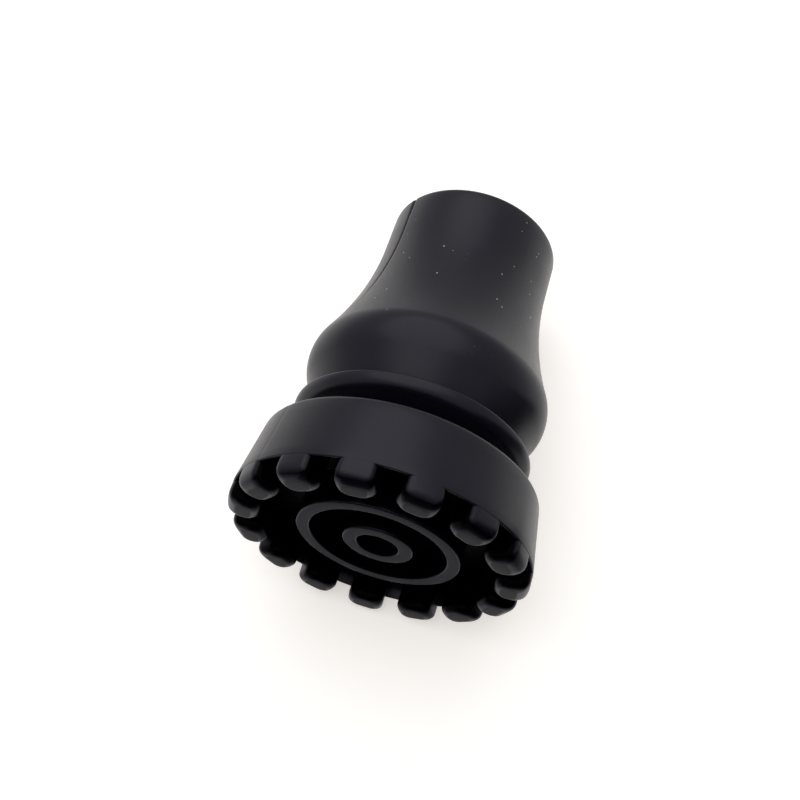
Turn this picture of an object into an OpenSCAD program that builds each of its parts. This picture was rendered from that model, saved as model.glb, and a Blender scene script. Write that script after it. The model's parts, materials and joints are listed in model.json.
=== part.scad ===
// Rubber cane tip, moulded in one piece.
// A straight socket sleeve flows through a waist into a round bulge; below it a thin lip and a deep
// groove make a bellows neck over a thick base disc. The underside is a skirt with a ring of block
// lugs round a deep recess that holds two concentric rings. The part stands on its lugs, +Z up.

/* [Socket] */
// Diameter of the blind hole that grips the shaft
bore_d = 22; // [16:0.5:24]
// Depth of the blind hole below the mouth
bore_depth = 38; // [25:1:38]
// Round on the inner edge of the mouth
mouth_lead = 0.8; // [0.2:0.1:1.5]

/* [Sleeve] */
// Outer diameter of the sleeve at the mouth
sleeve_d = 30.2; // [28:0.2:34]
// Height of the whole tip from the ground to the mouth
total_h = 64.5; // [60:0.1:75]
// Round on the outer edge of the mouth
mouth_round = 1; // [0.2:0.1:1.5]
// Height from the bulge's underside to where the waist's slope meets the sleeve
waist_rise = 20.9; // [16:0.1:26]
// Radius of the hollow sweep between the bulge and the sleeve
waist_round = 59; // [20:1:80]

/* [Bellows neck] */
// Diameter of the bulge at its widest
bulge_d = 41.2; // [38:0.2:46]
// Height from the bulge's underside to its shoulder
shoulder_rise = 8.4; // [7:0.1:11]
// Radius of the bulge's lower side
bulge_round = 7; // [3:0.1:8]
// Radius of the bulge's shoulder
shoulder_round = 6.4; // [2:0.1:9]
// Diameter at the bottom of the notch between bulge and lip
notch_d = 26; // [24:0.2:30]
// Height of that notch
notch_h = 2; // [1.2:0.1:4]
// Diameter of the thin lip
lip_d = 39.8; // [34:0.2:44]
// Thickness of the lip
lip_t = 1.8; // [1.2:0.1:3]
// Diameter at the bottom of the groove between lip and base
neck_d = 28.8; // [24:0.2:32]
// Height of that groove
groove_h = 5.1; // [3:0.1:8]

/* [Base] */
// Diameter of the base at its lower edge
base_d = 48.2; // [44:0.2:60]
// Diameter of the base at its upper edge
base_top_d = 45.4; // [42:0.2:56]
// Height of the base's wall
wall_h = 11.1; // [8:0.1:16]
// Round on the base's upper edge
base_top_round = 1; // [0.3:0.1:2]
// Thickness of the skirt where it meets the roof of the recess
skirt_t = 2.6; // [1:0.1:4]
// Thickness of the skirt at its lower edge
skirt_edge_t = 0.5; // [0.4:0.1:2]
// Round on the skirt's lower edge
skirt_round = 0.2; // [0.1:0.1:0.5]
// Height of the rubber between the recess and the groove
web_t = 6.4; // [4:0.1:10]

/* [Tread lugs] */
// Number of lugs round the edge
lug_count = 15; // [8:1:16]
// Direction of the first lug, in degrees
lug_phase = 14; // [0:1:24]
// Height of the lugs below the base's lower edge
lug_drop = 3.4; // [2.5:0.1:6]
// Width of a lug
lug_w = 6.1; // [4:0.1:6.8]
// Length of a lug from its outer face to its inner end
lug_l = 5.4; // [4.4:0.1:8]
// Step from the base's lower edge in to the outer faces of the lugs
lug_step = 0.05; // [0.05:0.05:1]
// Round on the lower edges at the sides and the inner end of a lug
lug_round = 1.5; // [0.3:0.1:2]
// Round on the lower edge at the outer face of a lug
lug_toe_round = 2.2; // [0.3:0.1:2.5]
// Round on the upright corners at the inner end of a lug
lug_end_round = 2; // [0.5:0.1:2]
// Round on the upright corners at the outer face of a lug
lug_corner_round = 1.3; // [0.5:0.1:2]

/* [Tread rings] */
// Height of the ring faces above the ground
ring_lift = 2.1; // [0:0.1:3]
// Outer diameter of the large ring
ring_d = 26.4; // [20:0.1:32]
// Width of the large ring's face
ring_w = 2.2; // [1:0.1:4]
// Outer diameter of the small ring
hub_ring_d = 11.4; // [8:0.1:16]
// Width of the small ring's face
hub_ring_w = 2.4; // [1:0.1:3.5]
// Round on the edges of both rings
ring_round = 0.3; // [0.1:0.1:0.5]
// Round in the corners of the recess
recess_round = 0.2; // [0.1:0.1:1.2]

/* [Hidden] */
$fn = 96;

// Largest distance between an arc and the chords that draw it
arc_sag = 0.02;
// How far a lug runs into the rubber above the recess
lug_root = 1.5;

// Levels, from the ground up
skirt_z = lug_drop;
base_top_z = skirt_z + wall_h;
recess_z = base_top_z - web_t;
lip_z = base_top_z + groove_h;
lip_top_z = lip_z + lip_t;
bulge_z = lip_top_z + notch_h;
shoulder_z = bulge_z + shoulder_rise;
waist_z = bulge_z + waist_rise;
bore_z = total_h - bore_depth;

// Radii
base_r = base_d / 2;
base_top_r = base_top_d / 2;
skirt_r = base_r - skirt_t;
ring_r = ring_d / 2;
hub_ring_r = hub_ring_d / 2;
bulge_r = bulge_d / 2;
sleeve_r = sleeve_d / 2;
neck_r = neck_d / 2;
notch_r = notch_d / 2;
lip_r = lip_d / 2;
bore_r = bore_d / 2;
lug_r = base_r - lug_step;
lug_in_r = lug_r - lug_l;

// Height and half width of a lug, and how far the base's wall leans in over the lug's height
lug_h = recess_z + lug_root;
lug_half = lug_w / 2;
wall_lean = (base_r - base_top_r) * (lug_h - skirt_z) / wall_h;

// Half section of the moulding as corners: radius, height, round
SECTION = [
    [0, recess_z, 0],
    [hub_ring_r - hub_ring_w, recess_z, recess_round],
    [hub_ring_r - hub_ring_w, ring_lift, ring_round],
    [hub_ring_r, ring_lift, ring_round],
    [hub_ring_r, recess_z, recess_round],
    [ring_r - ring_w, recess_z, recess_round],
    [ring_r - ring_w, ring_lift, ring_round],
    [ring_r, ring_lift, ring_round],
    [ring_r, recess_z, recess_round],
    [skirt_r, recess_z, recess_round],
    [base_r - skirt_edge_t, skirt_z, skirt_round],
    [base_r, skirt_z, skirt_round],
    [base_top_r, base_top_z, base_top_round],
    [neck_r, base_top_z, groove_h / 2],
    [neck_r, lip_z, groove_h / 2],
    [lip_r, lip_z, lip_t / 2],
    [lip_r, lip_top_z, lip_t / 2],
    [notch_r, lip_top_z, notch_h / 3],
    [notch_r, bulge_z, notch_h / 3],
    [bulge_r, bulge_z, bulge_round],
    [bulge_r, shoulder_z, shoulder_round],
    [sleeve_r, waist_z, waist_round],
    [sleeve_r, total_h, mouth_round],
    [bore_r, total_h, mouth_lead],
    [bore_r, bore_z, 0],
    [0, bore_z, 0]
];

// Half section of the ring that the lugs are cut from; above the skirt's edge it stays inside the wall
LUG_RING = [
    [lug_in_r, 0, lug_round],
    [lug_r, 0, lug_toe_round],
    [lug_r, skirt_z, 0],
    [lug_r - wall_lean, lug_h, 0],
    [lug_in_r, lug_h, 0]
];

// A lug along +X seen from above
LUG_PLAN = [
    [lug_in_r, -lug_half, lug_end_round],
    [base_r, -lug_half, lug_corner_round],
    [base_r, lug_half, lug_corner_round],
    [lug_in_r, lug_half, lug_end_round]
];

// A lug seen along its length
LUG_FRONT = [
    [-lug_half, 0, lug_round],
    [lug_half, 0, lug_round],
    [lug_half, lug_h, 0],
    [-lug_half, lug_h, 0]
];

function at(list, i) = list[(i + len(list)) % len(list)];
function flat(p) = [p[0], p[1]];
function heading(a, b) = flat(b - a) / norm(flat(b - a));
function cross_of(u, v) = u[0] * v[1] - u[1] * v[0];

// Angle through which the outline turns at corner i
function turn(list, i) =
    let (u = heading(at(list, i - 1), list[i]), v = heading(list[i], at(list, i + 1)))
    atan2(cross_of(u, v), u * v);

// Length that the round at corner i takes from each side of the corner
function reach(list, i) = list[i][2] * tan(abs(turn(list, i)) / 2);

// Share of two neighbouring rounds that the side between corners i and i + 1 has room for
function room(list, i) =
    let (
        j = (i + 1) % len(list),
        wanted = reach(list, i) + reach(list, j),
        side = norm(flat(list[j] - list[i]))
    )
    wanted > side ? side / wanted : 1;

// Angle between neighbouring points of an arc of that radius
function arc_step(radius) = 2 * acos(1 - arc_sag / max(radius, 2 * arc_sag));

// Points of the arc that rounds corner i, or the corner itself where it is sharp
function corner(list, i) =
    let (
        p = flat(list[i]),
        bend = turn(list, i),
        fit = min(room(list, (i + len(list) - 1) % len(list)), room(list, i)),
        radius = list[i][2] * fit,
        back = heading(at(list, i - 1), list[i]),
        start = p - back * radius * tan(abs(bend) / 2),
        side = sign(bend) * [-back[1], back[0]],
        centre = start + radius * side,
        steps = ceil(abs(bend) / arc_step(radius))
    )
    radius == 0 ? [p] :
    [for (k = [0 : steps])
        let (a = bend * k / steps)
        centre - radius * [side[0] * cos(a) - side[1] * sin(a), side[0] * sin(a) + side[1] * cos(a)]];

function rounded(list) = [for (i = [0 : len(list) - 1]) each corner(list, i)];

// One lug along +X, still with square edges at its two ends
module lug() {
    intersection() {
        linear_extrude(lug_h) polygon(rounded(LUG_PLAN));
        rotate([90, 0, 90]) linear_extrude(2 * base_r) polygon(rounded(LUG_FRONT));
    }
}

module tread_lugs() {
    intersection() {
        for (i = [0 : lug_count - 1])
            rotate(lug_phase + i * 360 / lug_count) lug();
        rotate_extrude() polygon(rounded(LUG_RING));
    }
}

module cane_tip() {
    color("#2c2b2f") {
        rotate_extrude() polygon(rounded(SECTION));
        tread_lugs();
    }
}

cane_tip();
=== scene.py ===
# %% [markdown]
# A rubber cane tip
#
# The object is the foot of a walking stick. It is one moulding: a sleeve that grips the shaft, a
# waist and a round bulge, a thin lip over a deep groove, and a thick base with block lugs below.
# The solid model already holds these forms at their real size, so the first thing to do is load it
# and note its box. Everything made later has to stay inside that box.

# %% Load the solid model as a fixed frame
import json
import math

import bmesh
import bpy
from mathutils import Matrix, Vector


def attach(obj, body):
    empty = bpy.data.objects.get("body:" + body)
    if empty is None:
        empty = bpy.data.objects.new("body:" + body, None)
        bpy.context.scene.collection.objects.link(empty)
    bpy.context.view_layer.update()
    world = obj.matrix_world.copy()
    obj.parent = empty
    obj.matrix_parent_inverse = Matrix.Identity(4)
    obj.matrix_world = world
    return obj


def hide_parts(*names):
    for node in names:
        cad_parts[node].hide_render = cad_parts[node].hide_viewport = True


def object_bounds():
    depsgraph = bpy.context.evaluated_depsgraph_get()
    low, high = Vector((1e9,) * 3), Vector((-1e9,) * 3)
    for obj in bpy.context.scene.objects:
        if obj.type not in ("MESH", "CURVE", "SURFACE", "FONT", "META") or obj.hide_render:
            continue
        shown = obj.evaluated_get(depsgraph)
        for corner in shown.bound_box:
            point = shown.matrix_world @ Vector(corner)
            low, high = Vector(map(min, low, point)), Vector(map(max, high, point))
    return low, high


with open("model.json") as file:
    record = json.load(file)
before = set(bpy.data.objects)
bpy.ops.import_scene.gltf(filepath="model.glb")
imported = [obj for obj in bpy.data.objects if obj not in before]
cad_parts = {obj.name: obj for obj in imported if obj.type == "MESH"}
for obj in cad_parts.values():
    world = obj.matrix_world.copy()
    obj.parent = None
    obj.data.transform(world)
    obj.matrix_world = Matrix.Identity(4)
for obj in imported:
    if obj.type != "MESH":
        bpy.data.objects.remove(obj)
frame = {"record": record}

mm = 0.001
cad_low, cad_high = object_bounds()
cad_size = cad_high - cad_low
print("solid model", [round(side / mm, 2) for side in cad_size], "mm")

# %% [markdown]
# Camera
#
# The tip is seen from below its tread, close up. In the object's own frame the camera stands in
# front and 31 degrees under the horizon, and the picture is turned by 19 degrees. One point is
# enough to place it: the centre of the tread's rings, which is seen at a known pixel. The lens is
# given in pixels: 1000 means that a thing covers one pixel when it is 1000 of its own widths away.
# That is then turned into the focal length for a 36 mm sensor. The view transform is Standard, so
# colours come out as written.

# %% Where the camera stands
picture_px = 800
lens_px = 1000
view_drop = math.radians(30.834)
view_roll = math.radians(-18.751)
ring_face_z = 2.1 * mm
rings_seen_at = Vector((376.9, 546.2))
rings_away = 153.5 * mm

camera_back = Vector((0, -math.cos(view_drop), -math.sin(view_drop)))
level_right = Vector((1, 0, 0))
level_up = camera_back.cross(level_right)
camera_right = level_right * math.cos(view_roll) - level_up * math.sin(view_roll)
camera_up = level_right * math.sin(view_roll) + level_up * math.cos(view_roll)

off_centre = (rings_seen_at - Vector((picture_px / 2, picture_px / 2))) * rings_away / lens_px
camera_place = Vector((0, 0, ring_face_z)) + camera_back * rings_away
camera_place += camera_up * off_centre.y - camera_right * off_centre.x
print("camera stands at", [round(part / mm, 1) for part in camera_place], "mm")

# %% Camera
sensor_w = 36
nearest_seen = 10 * mm

scene = bpy.context.scene
scene.view_settings.view_transform = "Standard"

camera_data = bpy.data.cameras.new("camera")
camera_data.sensor_width = sensor_w
camera_data.lens = sensor_w * lens_px / picture_px
camera_data.clip_start = nearest_seen
camera = bpy.data.objects.new("camera", camera_data)
camera_turn = Matrix((camera_right, camera_up, camera_back)).transposed()
camera.matrix_world = Matrix.Translation(camera_place) @ camera_turn.to_4x4()
scene.collection.objects.link(camera)
scene.camera = camera
print("camera has a lens of", camera_data.lens, "mm")

# %% [markdown]
# Half section of the moulding
#
# Cut the tip in half along its axis and every form shows as one outline. It could be drawn as a
# long row of points, but a moulder thinks in corners and radii, so each corner is written once with
# its radius, its height and the round that the mould gives it. The round travels along as an
# attribute on the vertex, for a Fillet Curve node to use. Under the bulge the side runs in straight,
# at 30 degrees, to a narrow notch. The lip below it has a flat top and a full, round underside.

# %% Sizes of the socket and the sleeve
socket = next(mount for mount in frame["record"]["mounts"] if mount["name"] == "socket")
mouth_z = cad_high.z
mouth_round = 1 * mm
mouth_lead = 0.8 * mm
bore_r = socket["dims"]["r_mm"] * mm
bore_z = mouth_z - mouth_lead - socket["dims"]["length_mm"] * mm
sleeve_r = 15.1 * mm
waist_z = 44.3 * mm
waist_round = 59 * mm
print("sleeve wall is", round((sleeve_r - bore_r) / mm, 2), "mm thick")

# %% Sizes of the base and the tread
skirt_z = 3.4 * mm
skirt_r = 21.5 * mm
skirt_edge_t = 0.5 * mm
skirt_round = 0.2 * mm
base_r = 24.08 * mm
base_top_r = 22.7 * mm
base_top_z = 14.5 * mm
base_top_round = 1 * mm
recess_z = 8.1 * mm
recess_round = 0.2 * mm
ring_r = 13.2 * mm
ring_w = 2.2 * mm
hub_ring_r = 5.7 * mm
hub_ring_w = 2.4 * mm
ring_round = 0.3 * mm
print("recess is", round((recess_z - ring_face_z) / mm, 2), "mm deep behind the ring faces")

# %% Sizes of the bellows neck
neck_r = 14.4 * mm
lip_r = 19.9 * mm
lip_z = 18.6 * mm
lip_top_z = 21.2 * mm
lip_edge_round = 0.4 * mm
lip_under_round = 2.15 * mm
notch_r = 16.8 * mm
bulge_r = 20.6 * mm
bulge_z = 21.9 * mm
bulge_under = math.radians(30)
bulge_side_z = bulge_z + (bulge_r - notch_r) / math.tan(bulge_under)
bulge_round = 7 * mm
shoulder_z = 31.8 * mm
shoulder_round = 6.4 * mm
groove_round = (lip_z - base_top_z) / 2
notch_round = (bulge_z - lip_top_z) / 3
print("bulge side starts at", round(bulge_side_z / mm, 2), "mm")

# %% Corners of the half section: radius, height, round
corners = [
    (0, recess_z, 0),
    (hub_ring_r - hub_ring_w, recess_z, recess_round),
    (hub_ring_r - hub_ring_w, ring_face_z, ring_round),
    (hub_ring_r, ring_face_z, ring_round),
    (hub_ring_r, recess_z, recess_round),
    (ring_r - ring_w, recess_z, recess_round),
    (ring_r - ring_w, ring_face_z, ring_round),
    (ring_r, ring_face_z, ring_round),
    (ring_r, recess_z, recess_round),
    (skirt_r, recess_z, recess_round),
    (base_r - skirt_edge_t, skirt_z, skirt_round),
    (base_r, skirt_z, skirt_round),
    (base_top_r, base_top_z, base_top_round),
    (neck_r, base_top_z, groove_round),
    (neck_r, lip_z, groove_round),
    (lip_r, lip_z, lip_under_round),
    (lip_r, lip_top_z, lip_edge_round),
    (notch_r, lip_top_z, notch_round),
    (notch_r, bulge_z, notch_round),
    (bulge_r, bulge_side_z, bulge_round),
    (bulge_r, shoulder_z, shoulder_round),
    (sleeve_r, waist_z, waist_round),
    (sleeve_r, mouth_z, mouth_round),
    (bore_r, mouth_z, mouth_lead),
    (bore_r, bore_z, 0),
    (0, bore_z, 0),
]
print("half section has", len(corners), "corners")

# %% Half section as a row of vertices that carry their rounds
fewest_steps = 4
most_steps = 16
round_per_step = 0.8 * mm


def steps_for(round_r):
    """Points on a round: few on the small edges, more on the wide sweeps."""
    return min(most_steps, round(fewest_steps + round_r / round_per_step))


section_mesh = bpy.data.meshes.new("half_section")
section_mesh.from_pydata(
    [(radius, height, 0) for radius, height, round_r in corners],
    [(i, i + 1) for i in range(len(corners) - 1)],
    [],
)
rounds = section_mesh.attributes.new("round", "FLOAT", "POINT")
rounds.data.foreach_set("value", [round_r for radius, height, round_r in corners])
steps = section_mesh.attributes.new("steps", "INT", "POINT")
steps.data.foreach_set("value", [steps_for(round_r) for radius, height, round_r in corners])
tip = bpy.data.objects.new("cane_tip_rubber", section_mesh)
scene.collection.objects.link(tip)
print("half section has", len(section_mesh.edges), "sides")

# %% [markdown]
# Helpers for node trees
#
# The shape and the finishes below are node trees, and a script that makes nodes is easier to follow
# when each node is one call. The first helper takes the node's kind, what goes into its sockets and
# any settings: a socket is linked, and a plain value is typed into the field. Many nodes are one
# small sum, so the second helper adds a Math node and gives back the socket of its result. The third
# makes a group's own sockets.

# %% Helpers that add nodes and sockets to a tree
column_w = 200
row_h = 260
nodes_in_row = 12


def add(tree, kind, inputs=None, **settings):
    """Add one node, make its settings, then fill its sockets."""
    node = tree.nodes.new(kind)
    row, column = divmod(len(tree.nodes), nodes_in_row)
    node.location = (column_w * column, -row_h * row)
    for name, value in settings.items():
        setattr(node, name, value)
    for key, value in (inputs or {}).items():
        if isinstance(value, bpy.types.NodeSocket):
            tree.links.new(value, node.inputs[key])
        else:
            node.inputs[key].default_value = value
    return node


def calc(tree, operation, *values):
    """Add one Math node and give the socket of its result."""
    return add(tree, "ShaderNodeMath", dict(enumerate(values)), operation=operation).outputs[0]


def sockets_of(tree, direction, wanted):
    """Give a group its own inputs or outputs, by name and kind."""
    for name, kind in wanted.items():
        tree.interface.new_socket(name, in_out=direction, socket_type="NodeSocket" + kind)


print("nodes are laid out", nodes_in_row, "in a row")

# %% [markdown]
# Turning the section
#
# A body of revolution is a profile carried round a circle. A Screw modifier would do it too, but in
# Geometry Nodes the same tree can go on to add the seam and the lugs. The profile is rounded by
# Fillet Curve, cut into short stretches where it runs straight, and swept round a circle by Curve to
# Mesh. The two ends of the profile lie on the axis, so merging by distance closes the poles.

# %% Tree inputs
tree = bpy.data.node_groups.new("moulded_tip", "GeometryNodeTree")
tree_inputs = {
    "Half section": "Geometry",
    "Columns": "Int",
    "Row spacing": "Float",
    "Seam turn": "Float",
    "Seam width": "Float",
    "Seam depth": "Float",
    "Mouth notch": "Float",
    "Lug block": "Object",
    "Lugs": "Int",
    "First lug": "Float",
    "Rubber": "Material",
}
sockets_of(tree, "INPUT", tree_inputs)
sockets_of(tree, "OUTPUT", {"Tip": "Geometry"})
given = add(tree, "NodeGroupInput").outputs
print("the tree takes", len(tree_inputs), "inputs")

# %% Rounded profile, cut into short rows
outline = add(tree, "GeometryNodeMeshToCurve", {"Mesh": given["Half section"]})
round_of = add(tree, "GeometryNodeInputNamedAttribute", {"Name": "round"}, data_type="FLOAT")
steps_of = add(tree, "GeometryNodeInputNamedAttribute", {"Name": "steps"}, data_type="INT")
profile = add(tree, "GeometryNodeFilletCurve", {
    "Curve": outline.outputs["Curve"],
    "Count": steps_of.outputs["Attribute"],
    "Radius": round_of.outputs["Attribute"],
    "Limit Radius": True,
}, mode="POLY")

index = add(tree, "GeometryNodeInputIndex").outputs[0]
here = add(tree, "GeometryNodeInputPosition").outputs[0]
there = add(tree, "GeometryNodeFieldAtIndex", {
    "Index": calc(tree, "ADD", index, 1.0),
    "Value": here,
}, data_type="FLOAT_VECTOR")
stretch = add(tree, "ShaderNodeVectorMath", {0: here, 1: there.outputs[0]}, operation="DISTANCE")
rows_in_stretch = calc(tree, "DIVIDE", stretch.outputs["Value"], given["Row spacing"])
rows = add(tree, "GeometryNodeSubdivideCurve", {
    "Curve": profile.outputs["Curve"],
    "Cuts": calc(tree, "FLOOR", rows_in_stretch),
})
print("the profile uses", len(tree.nodes), "nodes")

# %% Profile swept round the axis
rail_r = 10 * mm
weld = 0.002 * mm

# Curve to Mesh lays a profile's X outwards and its Y downwards, so the profile is turned over.
placed = add(tree, "GeometryNodeTransform", {
    "Geometry": rows.outputs["Curve"],
    "Translation": (-rail_r, 0, 0),
    "Rotation": (math.pi, 0, 0),
})
rail = add(tree, "GeometryNodeCurvePrimitiveCircle", {
    "Resolution": given["Columns"],
    "Radius": rail_r,
}, mode="RADIUS")
upright = add(tree, "GeometryNodeSetCurveNormal", {"Curve": rail.outputs["Curve"]}, mode="Z_UP")
turned = add(tree, "GeometryNodeCurveToMesh", {
    "Curve": upright.outputs["Curve"],
    "Profile Curve": placed.outputs["Geometry"],
})
closed = add(tree, "GeometryNodeMergeByDistance", {
    "Geometry": turned.outputs["Mesh"],
    "Distance": weld,
})
print("with the sweep the tree has", len(tree.nodes), "nodes")

# %% [markdown]
# Mould seam
#
# The mould opens in two halves, and rubber keeps a fine line where they met. On this tip the line
# is a narrow groove that is deepest at the mouth and hardly there further down. It could be painted
# on, but a real groove also catches light from the side. The field below measures, along the
# surface, how far each vertex is from the nearer of the two seams, and pulls it towards the axis.
# The same field is kept as an attribute, so that the finish can darken the line.

# %% Distance from the seam
def fade(tree, value, start, stop, first=0.0, last=1.0, **settings):
    """Add one Map Range node: as the value goes from start to stop, the result goes from first to last."""
    node = add(tree, "ShaderNodeMapRange", {
        "Value": value,
        "From Min": start,
        "From Max": stop,
        "To Min": first,
        "To Max": last,
    }, **settings)
    return node.outputs[0]


place = add(tree, "ShaderNodeSeparateXYZ", {0: here}).outputs
bearing = calc(tree, "ARCTAN2", place["Y"], place["X"])
from_seam = calc(tree, "SUBTRACT", bearing, given["Seam turn"])
wave = calc(tree, "COSINE", calc(tree, "MULTIPLY", from_seam, 2.0))
flat_place = add(tree, "ShaderNodeCombineXYZ", {0: place["X"], 1: place["Y"]}).outputs[0]
axis_away = add(tree, "ShaderNodeVectorMath", {0: flat_place}, operation="LENGTH").outputs["Value"]

# The doubled angle makes this twice the way to the seam, to be set against the seam's whole width.
across = calc(tree, "MULTIPLY", calc(tree, "ARCCOSINE", wave), axis_away)
seam_line = fade(tree, across, 0.0, given["Seam width"], first=1.0, last=0.0)
print("with the seam's line the tree has", len(tree.nodes), "nodes")

# %% Where the seam shows
seam_end_z = shoulder_z + 2 * mm
base_share = 0.3

outer_skin = calc(tree, "GREATER_THAN", axis_away, (bore_r + sleeve_r) / 2)
skin_line = calc(tree, "MULTIPLY", seam_line, outer_skin)
on_sleeve = fade(tree, place["Z"], seam_end_z, waist_z)
over_skirt = calc(tree, "GREATER_THAN", place["Z"], skirt_z)
under_groove = calc(tree, "LESS_THAN", place["Z"], base_top_z)
on_base = calc(tree, "MULTIPLY", over_skirt, under_groove)
shown = calc(tree, "MAXIMUM", on_sleeve, calc(tree, "MULTIPLY", on_base, base_share))
seam = calc(tree, "MULTIPLY", skin_line, shown)
print("the seam runs out at", round(seam_end_z / mm, 1), "mm, and on the base it is", base_share, "as deep")

# %% Seam as a groove
notch_end_z = mouth_z - 6 * mm

opening = fade(
    tree, place["Z"], notch_end_z, mouth_z,
    first=given["Seam depth"], last=given["Mouth notch"], interpolation_type="SMOOTHERSTEP")
inwards = calc(tree, "MULTIPLY", calc(tree, "MULTIPLY", seam, opening), -1.0)
outwards = add(tree, "ShaderNodeVectorMath", {0: flat_place}, operation="NORMALIZE").outputs[0]
shift = add(tree, "ShaderNodeVectorMath", {0: outwards, "Scale": inwards}, operation="SCALE")
seamed = add(tree, "GeometryNodeSetPosition", {
    "Geometry": closed.outputs["Geometry"],
    "Offset": shift.outputs[0],
})
print("with the groove the tree has", len(tree.nodes), "nodes")

# %% [markdown]
# One tread lug
#
# A lug is a block with soft upright corners and rounded lower edges. A beveled cube would round
# every edge alike, but here the toe is much rounder than the sides, and the inner corners are rounder
# than the outer ones. So the block is a stack of rectangles with round corners, one for each height:
# where an edge is rounded, the rectangle draws in along a quarter circle. The outer face is bent to
# the radius of the base's wall, and above the skirt it leans in with that wall and stays inside it.

# %% Sizes of a lug
lug_step = 0.05 * mm
lug_root = 1.5 * mm
lug_w = 6.1 * mm
lug_l = 5.4 * mm
lug_corner = 1.2 * mm
lug_end_corner = 2 * mm
lug_side_round = 1.5 * mm
lug_toe_round = 2.2 * mm

lug_r = base_r - lug_step
lug_in_r = lug_r - lug_l
lug_top_z = recess_z + lug_root
wall_lean = (base_r - base_top_r) / (base_top_z - skirt_z)
print("a lug reaches from", round(lug_in_r / mm, 2), "to", round(lug_r / mm, 2), "mm off the axis")

# %% Outline of a lug at one height
corner_steps = 6
face_steps = 8


def drawn_in(round_r, height):
    """How far a face stands back at that height because of the round at its lower edge."""
    if height >= round_r:
        return 0
    return round_r - math.sqrt(round_r ** 2 - (round_r - height) ** 2)


def bent_in(y):
    """How far the base's round wall falls back at that distance from the lug's middle."""
    return lug_r - math.sqrt(lug_r ** 2 - y ** 2)


def lug_ring(height):
    """Points round a lug at one height, anticlockwise from one end of its outer face."""
    side_in = drawn_in(lug_side_round, height)
    low_x = lug_in_r + side_in
    high_x = lug_r - drawn_in(lug_toe_round, height) - wall_lean * max(0, height - skirt_z)
    half = lug_w / 2 - side_in
    room = min(half, (high_x - low_x) / 2)
    outer_r = min(lug_corner, room)
    inner_r = min(lug_end_corner, room)
    points = []
    for quarter, (x, corner_r) in enumerate((
        (high_x, outer_r),
        (low_x, inner_r),
        (low_x, inner_r),
        (high_x, outer_r),
    )):
        to_middle = -1 if x == high_x else 1
        side = 1 if quarter < 2 else -1
        for i in range(corner_steps + 1):
            turn = (quarter + i / corner_steps) * math.pi / 2
            points.append((
                x + to_middle * corner_r + corner_r * math.cos(turn),
                side * (half - corner_r) + corner_r * math.sin(turn),
            ))
    reach = half - outer_r
    points += [(high_x, reach * (2 * i / face_steps - 1)) for i in range(1, face_steps)]
    return [(x - bent_in(y) * (x - low_x) / (high_x - low_x), y, height) for x, y in points]


print("a lug's outline has", len(lug_ring(skirt_z)), "points")

# %% Lug block
edge_steps = 12

heights = [lug_top_z, skirt_z]
heights += [lug_toe_round * (1 - math.sin(math.pi / 2 * i / edge_steps)) for i in range(edge_steps + 1)]
lug_build = bmesh.new()
rings = [[lug_build.verts.new(point) for point in lug_ring(height)] for height in heights]
for upper, lower in zip(rings, rings[1:]):
    for i in range(len(upper)):
        lug_build.faces.new((upper[i - 1], upper[i], lower[i], lower[i - 1]))
lug_build.faces.new(rings[0])
lug_build.faces.new(rings[-1])
bmesh.ops.remove_doubles(lug_build, verts=lug_build.verts, dist=weld)
bmesh.ops.recalc_face_normals(lug_build, faces=lug_build.faces)
lug_mesh = bpy.data.meshes.new("lug_block")
lug_build.to_mesh(lug_mesh)
lug_build.free()
lug = bpy.data.objects.new("lug_block", lug_mesh)
scene.collection.objects.link(lug)
print("one lug has", len(lug_mesh.polygons), "faces")

# %% [markdown]
# Ring of lugs
#
# Fifteen equal lugs stand round the edge. Copies could be placed by a loop, but instances make the
# rule visible: as many points as lugs, all on the axis, each turned by its own number. They are
# made real and united with the turned body, so that the tip is one closed skin with no faces left
# inside. Edges that turn sharply stay crisp, and the rest is shaded smooth.

# %% Lugs round the axis, united with the body
block = add(tree, "GeometryNodeObjectInfo", {"Object": given["Lug block"], "As Instance": True})
on_axis = add(tree, "GeometryNodePoints", {"Count": given["Lugs"]})
pitch = calc(tree, "DIVIDE", 2 * math.pi, given["Lugs"])
lug_turn = calc(tree, "ADD", calc(tree, "MULTIPLY", index, pitch), given["First lug"])
turn_vector = add(tree, "ShaderNodeCombineXYZ", {2: lug_turn})
ring = add(tree, "GeometryNodeInstanceOnPoints", {
    "Points": on_axis.outputs[0],
    "Instance": block.outputs["Geometry"],
    "Rotation": turn_vector.outputs[0],
})
real_ring = add(tree, "GeometryNodeRealizeInstances", {"Geometry": ring.outputs[0]})
united = add(tree, "GeometryNodeMeshBoolean", operation="UNION", solver="EXACT")
for part in (seamed.outputs["Geometry"], real_ring.outputs["Geometry"]):
    tree.links.new(part, united.inputs["Mesh 2"])
print("with the lugs the tree has", len(tree.nodes), "nodes")

# %% Crisp edges, the seam's mark and the material
crisp_turn = math.radians(40)

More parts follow.
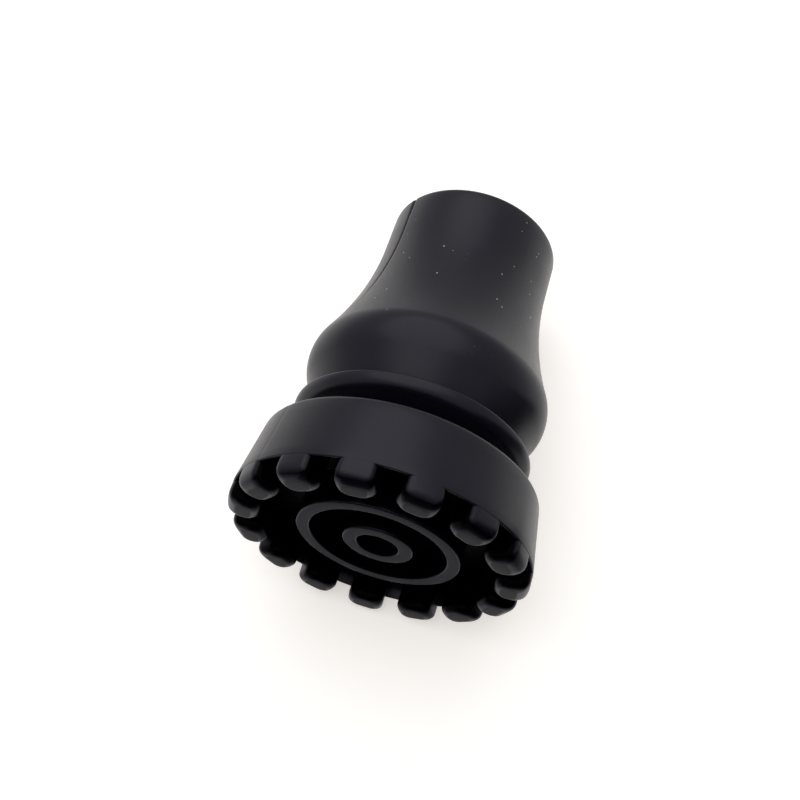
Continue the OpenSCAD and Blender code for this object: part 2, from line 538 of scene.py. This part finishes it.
edge_turn = add(tree, "GeometryNodeInputMeshEdgeAngle")
soft = add(tree, "GeometryNodeSetShadeSmooth", {
    "Geometry": united.outputs["Mesh"],
    "Shade Smooth": True,
}, domain="FACE")
shaded = add(tree, "GeometryNodeSetShadeSmooth", {
    "Geometry": soft.outputs["Geometry"],
    "Selection": calc(tree, "GREATER_THAN", edge_turn.outputs["Unsigned Angle"], crisp_turn),
    "Shade Smooth": False,
}, domain="EDGE")
marked = add(tree, "GeometryNodeStoreNamedAttribute", {
    "Geometry": shaded.outputs["Geometry"],
    "Name": "seam",
    "Value": seam,
}, data_type="FLOAT", domain="POINT")
whole = add(tree, "GeometryNodeRealizeInstances", {"Geometry": marked.outputs["Geometry"]})
finished = add(tree, "GeometryNodeSetMaterial", {
    "Geometry": whole.outputs["Geometry"],
    "Material": given["Rubber"],
})
add(tree, "NodeGroupOutput", {"Tip": finished.outputs["Geometry"]})
print("the whole tree has", len(tree.nodes), "nodes")

# %% [markdown]
# Specks
#
# Dust sits on the rubber as a few pale points, far apart. They could be tiny meshes, but they have
# no height that a hand would feel, so they belong to the finish. A Voronoi texture gives each cell
# of space one point and one random colour: the point is the speck, the red of the colour decides
# whether that cell has one, and the green how large it is. As a group it can be placed again with
# other values.

# %% Shader group: scattered specks
specks = bpy.data.node_groups.new("scattered_specks", "ShaderNodeTree")
sockets_of(specks, "INPUT", {"Vector": "Vector", "Cells": "Float", "Size": "Float", "Share": "Float"})
sockets_of(specks, "OUTPUT", {"Mask": "Float"})
speck_in = add(specks, "NodeGroupInput").outputs
cells = add(specks, "ShaderNodeTexVoronoi", {"Vector": speck_in["Vector"], "Scale": speck_in["Cells"]})
draw = add(specks, "ShaderNodeSeparateColor", {"Color": cells.outputs["Color"]})
own_size = calc(specks, "MULTIPLY", draw.outputs["Green"], speck_in["Size"])
near = calc(specks, "LESS_THAN", cells.outputs["Distance"], own_size)
chosen = calc(specks, "LESS_THAN", draw.outputs["Red"], speck_in["Share"])
add(specks, "NodeGroupOutput", {"Mask": calc(specks, "MULTIPLY", near, chosen)})
print("speck group has", len(specks.nodes), "nodes")

# %% [markdown]
# Rubber
#
# The rubber is nearly black with a touch of violet. Most of what the eye sees on it is not colour
# but a wide, soft reflection of the room, so the roughness matters more than the base colour. It is
# never quite even: the skin of the mould leaves a fine grain, and wax that rises to the surface
# dulls it in patches. The base colour comes first, with the dust on the sleeve.

# %% Rubber colour
violet_black = (0.0034, 0.0030, 0.0066, 1)
waxy_black = (0.0058, 0.0052, 0.0104, 1)


def blend(tree, factor, first, second):
    """Add one Mix node for colours and give the socket of its result."""
    node = add(tree, "ShaderNodeMix", {"Factor": factor, "A": first, "B": second}, data_type="RGBA")
    return node.outputs["Result"]


rubber = bpy.data.materials.new("moulded_rubber")
rubber.use_nodes = True
shading = rubber.node_tree
shading.nodes.clear()

coordinates = add(shading, "ShaderNodeTexCoord").outputs
space = coordinates["Object"]
patches = add(shading, "ShaderNodeTexNoise", {
    "Vector": space,
    "Scale": 110.0,
    "Detail": 4.0,
    "Roughness": 0.6,
}).outputs["Fac"]
black = blend(shading, patches, violet_black, waxy_black)
print("the rubber's colour uses", len(shading.nodes), "nodes")

# %% Dust on the sleeve
dust_grey = (0.32, 0.32, 0.31, 1)
dust_start_z = shoulder_z - 4 * mm
dust_full_z = shoulder_z + 6 * mm

dust = add(shading, "ShaderNodeGroup", {
    "Vector": space,
    "Cells": 760.0,
    "Size": 0.12,
    "Share": 0.45,
}, node_tree=specks)
point = add(shading, "ShaderNodeSeparateXYZ", {0: space}).outputs
dusty = fade(shading, point["Z"], dust_start_z, dust_full_z)
sleeve_dust = calc(shading, "MULTIPLY", dust.outputs["Mask"], dusty)
dusted = blend(shading, sleeve_dust, black, dust_grey)
print("with the dust there are", len(shading.nodes), "nodes")

# %% [markdown]
# Painted shade in the tread
#
# The recess of the tread, and on each lug the sides and the soft edges between its two open faces,
# are where shade falls, and that shade is painted: the rubber there is made nearly black and reflects
# hardly anything. It could be painted as a mask, but a rule is easier to change: the height and the
# distance from the axis find the recess, and the direction in which a face looks finds the lug edges.

# %% Painted shade mask of the recess
rim_start_r = base_r - 1.2 * mm
rim_full_r = base_r - 0.7 * mm
deep_start_z = ring_face_z - 1 * mm
deep_full_z = ring_face_z + 1.5 * mm
roof_top_z = recess_z + 0.5 * mm

flat_point = add(shading, "ShaderNodeCombineXYZ", {0: point["X"], 1: point["Y"]}).outputs[0]
from_axis = add(shading, "ShaderNodeVectorMath", {0: flat_point}, operation="LENGTH").outputs["Value"]
# Painted shade: the tread's recess, inside the rim and above the ring faces, is made nearly black.
inner = fade(shading, from_axis, rim_start_r, rim_full_r, first=1.0, last=0.0)
deep = fade(shading, point["Z"], deep_start_z, deep_full_z)
under_roof = calc(shading, "LESS_THAN", point["Z"], roof_top_z)
recess_shade = calc(shading, "MULTIPLY", calc(shading, "MULTIPLY", inner, deep), under_roof)
print("with the recess there are", len(shading.nodes), "nodes")

# %% Painted shade mask of the lugs' sides and edges
hidden_look = 0.7
open_look = 0.96

normal = coordinates["Normal"]
from_middle = add(shading, "ShaderNodeVectorMath", {0: flat_point}, operation="NORMALIZE").outputs["Vector"]
outward = add(shading, "ShaderNodeVectorMath", {0: normal, 1: from_middle}, operation="DOT_PRODUCT")
upward = add(shading, "ShaderNodeSeparateXYZ", {0: normal}).outputs["Z"]
downward = calc(shading, "MULTIPLY", upward, -1.0)
open_side = calc(shading, "MAXIMUM", outward.outputs["Value"], downward)
turned_in = fade(shading, open_side, hidden_look, open_look, first=1.0, last=0.0)
# Painted shade on the lugs' sides and on the soft edges between their open faces, below the skirt.
below_skirt = calc(shading, "LESS_THAN", point["Z"], skirt_z)
lug_edge_shade = calc(shading, "MULTIPLY", turned_in, below_skirt)
# The painted shade of the recess and of the lugs' edges, in one mask.
painted_shade = calc(shading, "MAXIMUM", recess_shade, lug_edge_shade)
print("with the lugs' edges there are", len(shading.nodes), "nodes")

# %% [markdown]
# Sheen
#
# Two more things change the skin. The faces that stand on the ground are rubbed matt, so they get a
# high roughness, and the seam's line is darker and matt. All of it meets in one Principled shader.
# Rubber reflects less than most plastics, so its specular level is low, and its reflections lean a
# little to violet. The painted shade in the tread takes away reflection as well: a black metal reflects
# next to nothing, so the painted shade mask goes to Metallic rather than to the specular level.

# %% Roughness of the rubber
smooth_patch = 0.24
waxy_patch = 0.32
grain_share = 0.08
rubbed = 0.6
rubbed_start = 0.9
rubbed_full = 0.99
noise_low = 0.3
noise_high = 0.7

grain = add(shading, "ShaderNodeTexNoise", {
    "Vector": space,
    "Scale": 1500.0,
    "Detail": 2.0,
    "Roughness": 0.5,
}).outputs["Fac"]
dull = fade(shading, patches, noise_low, noise_high, first=smooth_patch, last=waxy_patch)
grained = calc(shading, "MULTIPLY_ADD", grain, grain_share, dull)
on_tread = fade(shading, downward, rubbed_start, rubbed_full, last=rubbed)
seam_mark = add(shading, "ShaderNodeAttribute", attribute_name="seam").outputs["Fac"]
roughness = calc(shading, "MAXIMUM", calc(shading, "MAXIMUM", grained, on_tread), seam_mark)
print("with the roughness there are", len(shading.nodes), "nodes")

# %% Rubber surface
# Painted shade: the near-black colour that the shade mask puts into the tread.
painted_shade_black = (0.0008, 0.0008, 0.0010, 1)
# Near-black colour along the seam's line.
seam_black = (0.002, 0.002, 0.002, 1)
violet_shine = (0.93, 0.91, 1.0, 1)
shine = 0.2

# Where the painted shade mask is set, the colour goes nearly black, and as Metallic with that black it
# takes away nearly all reflection.
dusted_and_shaded = blend(shading, painted_shade, dusted, painted_shade_black)
skin = add(shading, "ShaderNodeBsdfPrincipled", {
    "Base Color": blend(shading, seam_mark, dusted_and_shaded, seam_black),
    "Roughness": roughness,
    "Metallic": painted_shade,
    "Specular IOR Level": shine,
    "Specular Tint": violet_shine,
})
add(shading, "ShaderNodeOutputMaterial", {"Surface": skin.outputs["BSDF"]})
print("rubber has", len(shading.nodes), "nodes")

# %% [markdown]
# Making the tip
#
# A modifier runs the tree on the half section. Its inputs are set by the sockets' identifiers, which
# stay the same when a label changes. The result is then turned into a plain mesh, because a part in
# a library can't count on the tree being there, and the mesh is measured: the edges that lack two
# faces are counted, and its volume is worked out.

# %% Run the tree and keep the mesh
turning = tip.modifiers.new("moulded_tip", "NODES")
turning.node_group = tree
values = {
    "Columns": 360,
    "Row spacing": 1.6 * mm,
    "Seam turn": math.radians(32),
    "Seam width": 0.7 * mm,
    "Seam depth": 0.14 * mm,
    "Mouth notch": 0.45 * mm,
    "Lug block": lug,
    "Lugs": 15,
    "First lug": math.radians(14),
    "Rubber": rubber,
}
for item in tree.interface.items_tree:
    if item.in_out == "INPUT" and item.name in values:
        turning[item.identifier] = values[item.name]

evaluated = tip.evaluated_get(bpy.context.evaluated_depsgraph_get())
tip_mesh = bpy.data.meshes.new_from_object(evaluated)
tip.modifiers.remove(turning)
tip.data = tip_mesh
bpy.data.objects.remove(lug)
print("tip has", len(tip_mesh.polygons), "faces")

# %% Measure the mesh
measured = bmesh.new()
measured.from_mesh(tip_mesh)
open_edges = sum(len(edge.link_faces) != 2 for edge in measured.edges)
volume = measured.calc_volume(signed=True)
measured.free()
tip_mesh.calc_loop_triangles()
print("tip has", len(tip_mesh.loop_triangles), "triangles and", open_edges, "open edges")
print("tip holds", round(volume / mm ** 3), "mm3 of rubber")

# %% [markdown]
# Floor
#
# In the picture the tip lies on its side, on its base and on its bulge, and the camera looks down
# on it. The part itself keeps standing upright in its frame, so the floor is what turns: it is a
# plane that touches those two places. A warm glow, which only the camera and reflections see, makes
# it white and leaves the soft shadow warm. Seen from behind it is clear, so that it hides nothing
# when the camera goes round.

# %% Floor
lies_towards = math.radians(82.3)

# Radius and height of the two places that the floor touches
base_touch = Vector((base_top_r + 0.13 * mm, base_top_z - 0.9 * mm))
bulge_touch = Vector((bulge_r - 0.03 * mm, shoulder_z - 0.5 * mm))
floor_half = 900 * mm

rise = (bulge_touch - base_touch).normalized()
side_on = Vector((math.cos(lies_towards), math.sin(lies_towards), 0))
axis = Vector((0, 0, 1))
floor_up = (side_on * -rise.y + axis * rise.x).normalized()
floor_along = (camera_right - floor_up * camera_right.dot(floor_up)).normalized()
floor_away = floor_up.cross(floor_along)
floor_spot = side_on * base_touch.x + axis * base_touch.y

floor_mesh = bpy.data.meshes.new("floor")
floor_mesh.from_pydata(
    [floor_spot + floor_along * x * floor_half + floor_away * y * floor_half
     for x, y in ((-1, -1), (1, -1), (1, 1), (-1, 1))],
    [],
    [(0, 1, 2, 3)],
)
floor = bpy.data.objects.new("floor", floor_mesh)
scene.collection.objects.link(floor)
print("floor faces", [round(part, 3) for part in floor_up])

# %% Floor material
paper_white = (0.8, 0.8, 0.8, 1)
warm_white = (1, 0.95, 0.88, 1)
glow = 0.47


def seen_rays(tree):
    """A mask of the rays that show a thing: from the camera, mirrored, or through glass."""
    path = add(tree, "ShaderNodeLightPath").outputs
    mirrored_too = calc(tree, "MAXIMUM", path["Is Camera Ray"], path["Is Glossy Ray"])
    return calc(tree, "MAXIMUM", mirrored_too, path["Is Transmission Ray"])


paper = bpy.data.materials.new("white_floor")
paper.use_nodes = True
floor_nodes = paper.node_tree
floor_nodes.nodes.clear()
glow_seen = calc(floor_nodes, "MULTIPLY", seen_rays(floor_nodes), glow)
matte = add(floor_nodes, "ShaderNodeBsdfDiffuse", {"Color": paper_white})
lift = add(floor_nodes, "ShaderNodeEmission", {"Color": warm_white, "Strength": glow_seen})
front = add(floor_nodes, "ShaderNodeAddShader", {0: matte.outputs[0], 1: lift.outputs[0]})
clear = add(floor_nodes, "ShaderNodeBsdfTransparent")
behind = add(floor_nodes, "ShaderNodeNewGeometry").outputs["Backfacing"]
sided = add(floor_nodes, "ShaderNodeMixShader", {0: behind, 1: front.outputs[0], 2: clear.outputs[0]})
add(floor_nodes, "ShaderNodeOutputMaterial", {"Surface": sided.outputs[0]})
floor_mesh.materials.append(paper)
print("floor material has", len(floor_nodes.nodes), "nodes")

# %% [markdown]
# Light
#
# Black rubber shows its shape by what it reflects. A photographer would hang white sheets round it,
# and here the world's own colour does that: the room is white on all sides. Its light is dimmer
# than its look, so that the floor keeps a shadow. One large oval lamp above the tip does the rest,
# because a small one would leave a hard spot on every round.

# %% White room
room_light = 0.38
room_look = 0.8
white = (1, 1, 1, 1)

world = bpy.data.worlds.new("white_room")
world.use_nodes = True
room = world.node_tree
room.nodes.clear()
room_level = fade(room, seen_rays(room), 0.0, 1.0, first=room_light, last=room_look)
sheets = add(room, "ShaderNodeBackground", {"Color": white, "Strength": room_level})
add(room, "ShaderNodeOutputWorld", {"Surface": sheets.outputs[0]})
scene.world = world
print("the room lights with", room_light, "and looks like", room_look)

# %% Oval lamp
lamp_up = 620 * mm
lamp_away = 200 * mm
lamp_left = 80 * mm

tip_middle = Vector((0, 0, mouth_z / 2))
lamp_place = tip_middle + floor_up * lamp_up + floor_away * lamp_away - floor_along * lamp_left
lamp_data = bpy.data.lights.new("soft_lamp", "AREA")
lamp_data.shape = "ELLIPSE"
lamp_data.size = 950 * mm
lamp_data.size_y = 1250 * mm
lamp_data.energy = 4.2
lamp = bpy.data.objects.new("soft_lamp", lamp_data)
lamp.location = lamp_place
lamp.rotation_mode = "QUATERNION"
lamp.rotation_quaternion = (tip_middle - lamp_place).to_track_quat("-Z", "Y")
scene.collection.objects.link(lamp)
lamp_far = (lamp_place - tip_middle).length
print("lamp of", round(lamp_data.energy, 2), "W hangs", round(lamp_far / mm), "mm away")

# %% [markdown]
# Dark card
#
# A dark card stands on the floor in a curve, in front of the tip and to its right. It is an old
# studio trick: edges that face the card mirror it and turn black, so the lugs read clearly. A box
# would show its corners in the rubber, so the card is bent from many narrow strips. One end is cut
# to a slope, which lets its reflection fade in. The card shows in reflections only, and neither the
# camera nor the floor knows of it.

# %% Dark card
card_away = 75 * mm
card_tall = 80 * mm
card_start = math.radians(80)
card_sweep = math.radians(150)
card_steps = 16
slope_steps = 4
slope_foot = 0.2

card_foot = axis * base_top_z / 2
card_foot += floor_up * (floor_spot - card_foot).dot(floor_up)
card_points = []
for i in range(card_steps + 1):
    turn = card_start + card_sweep * i / card_steps
    stand = card_foot + (floor_along * math.sin(turn) + floor_away * math.cos(turn)) * card_away
    top = card_tall * min(1, (i + slope_foot) / slope_steps)
    card_points += [stand, stand + floor_up * top]

card_mesh = bpy.data.meshes.new("dark_card")
strips = [(2 * i, 2 * i + 1, 2 * i + 3, 2 * i + 2) for i in range(card_steps)]
card_mesh.from_pydata(card_points, [], strips)
card = bpy.data.objects.new("dark_card", card_mesh)
card.visible_camera = False
card.visible_diffuse = False
card.visible_shadow = False
scene.collection.objects.link(card)
print("card has", len(strips), "strips")

# %% Card material
card_colour = (0.01, 0.01, 0.01, 1)

card_black = bpy.data.materials.new("card_black")
card_black.use_nodes = True
card_skin = card_black.node_tree.nodes["Principled BSDF"].inputs
card_skin["Base Color"].default_value = card_colour
card_skin["Roughness"].default_value = 1.0
card_mesh.materials.append(card_black)
print("card is", card_black.name)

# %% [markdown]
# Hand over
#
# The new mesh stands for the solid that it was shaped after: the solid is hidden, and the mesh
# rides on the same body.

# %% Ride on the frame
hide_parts("cane_tip")
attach(tip, "root")
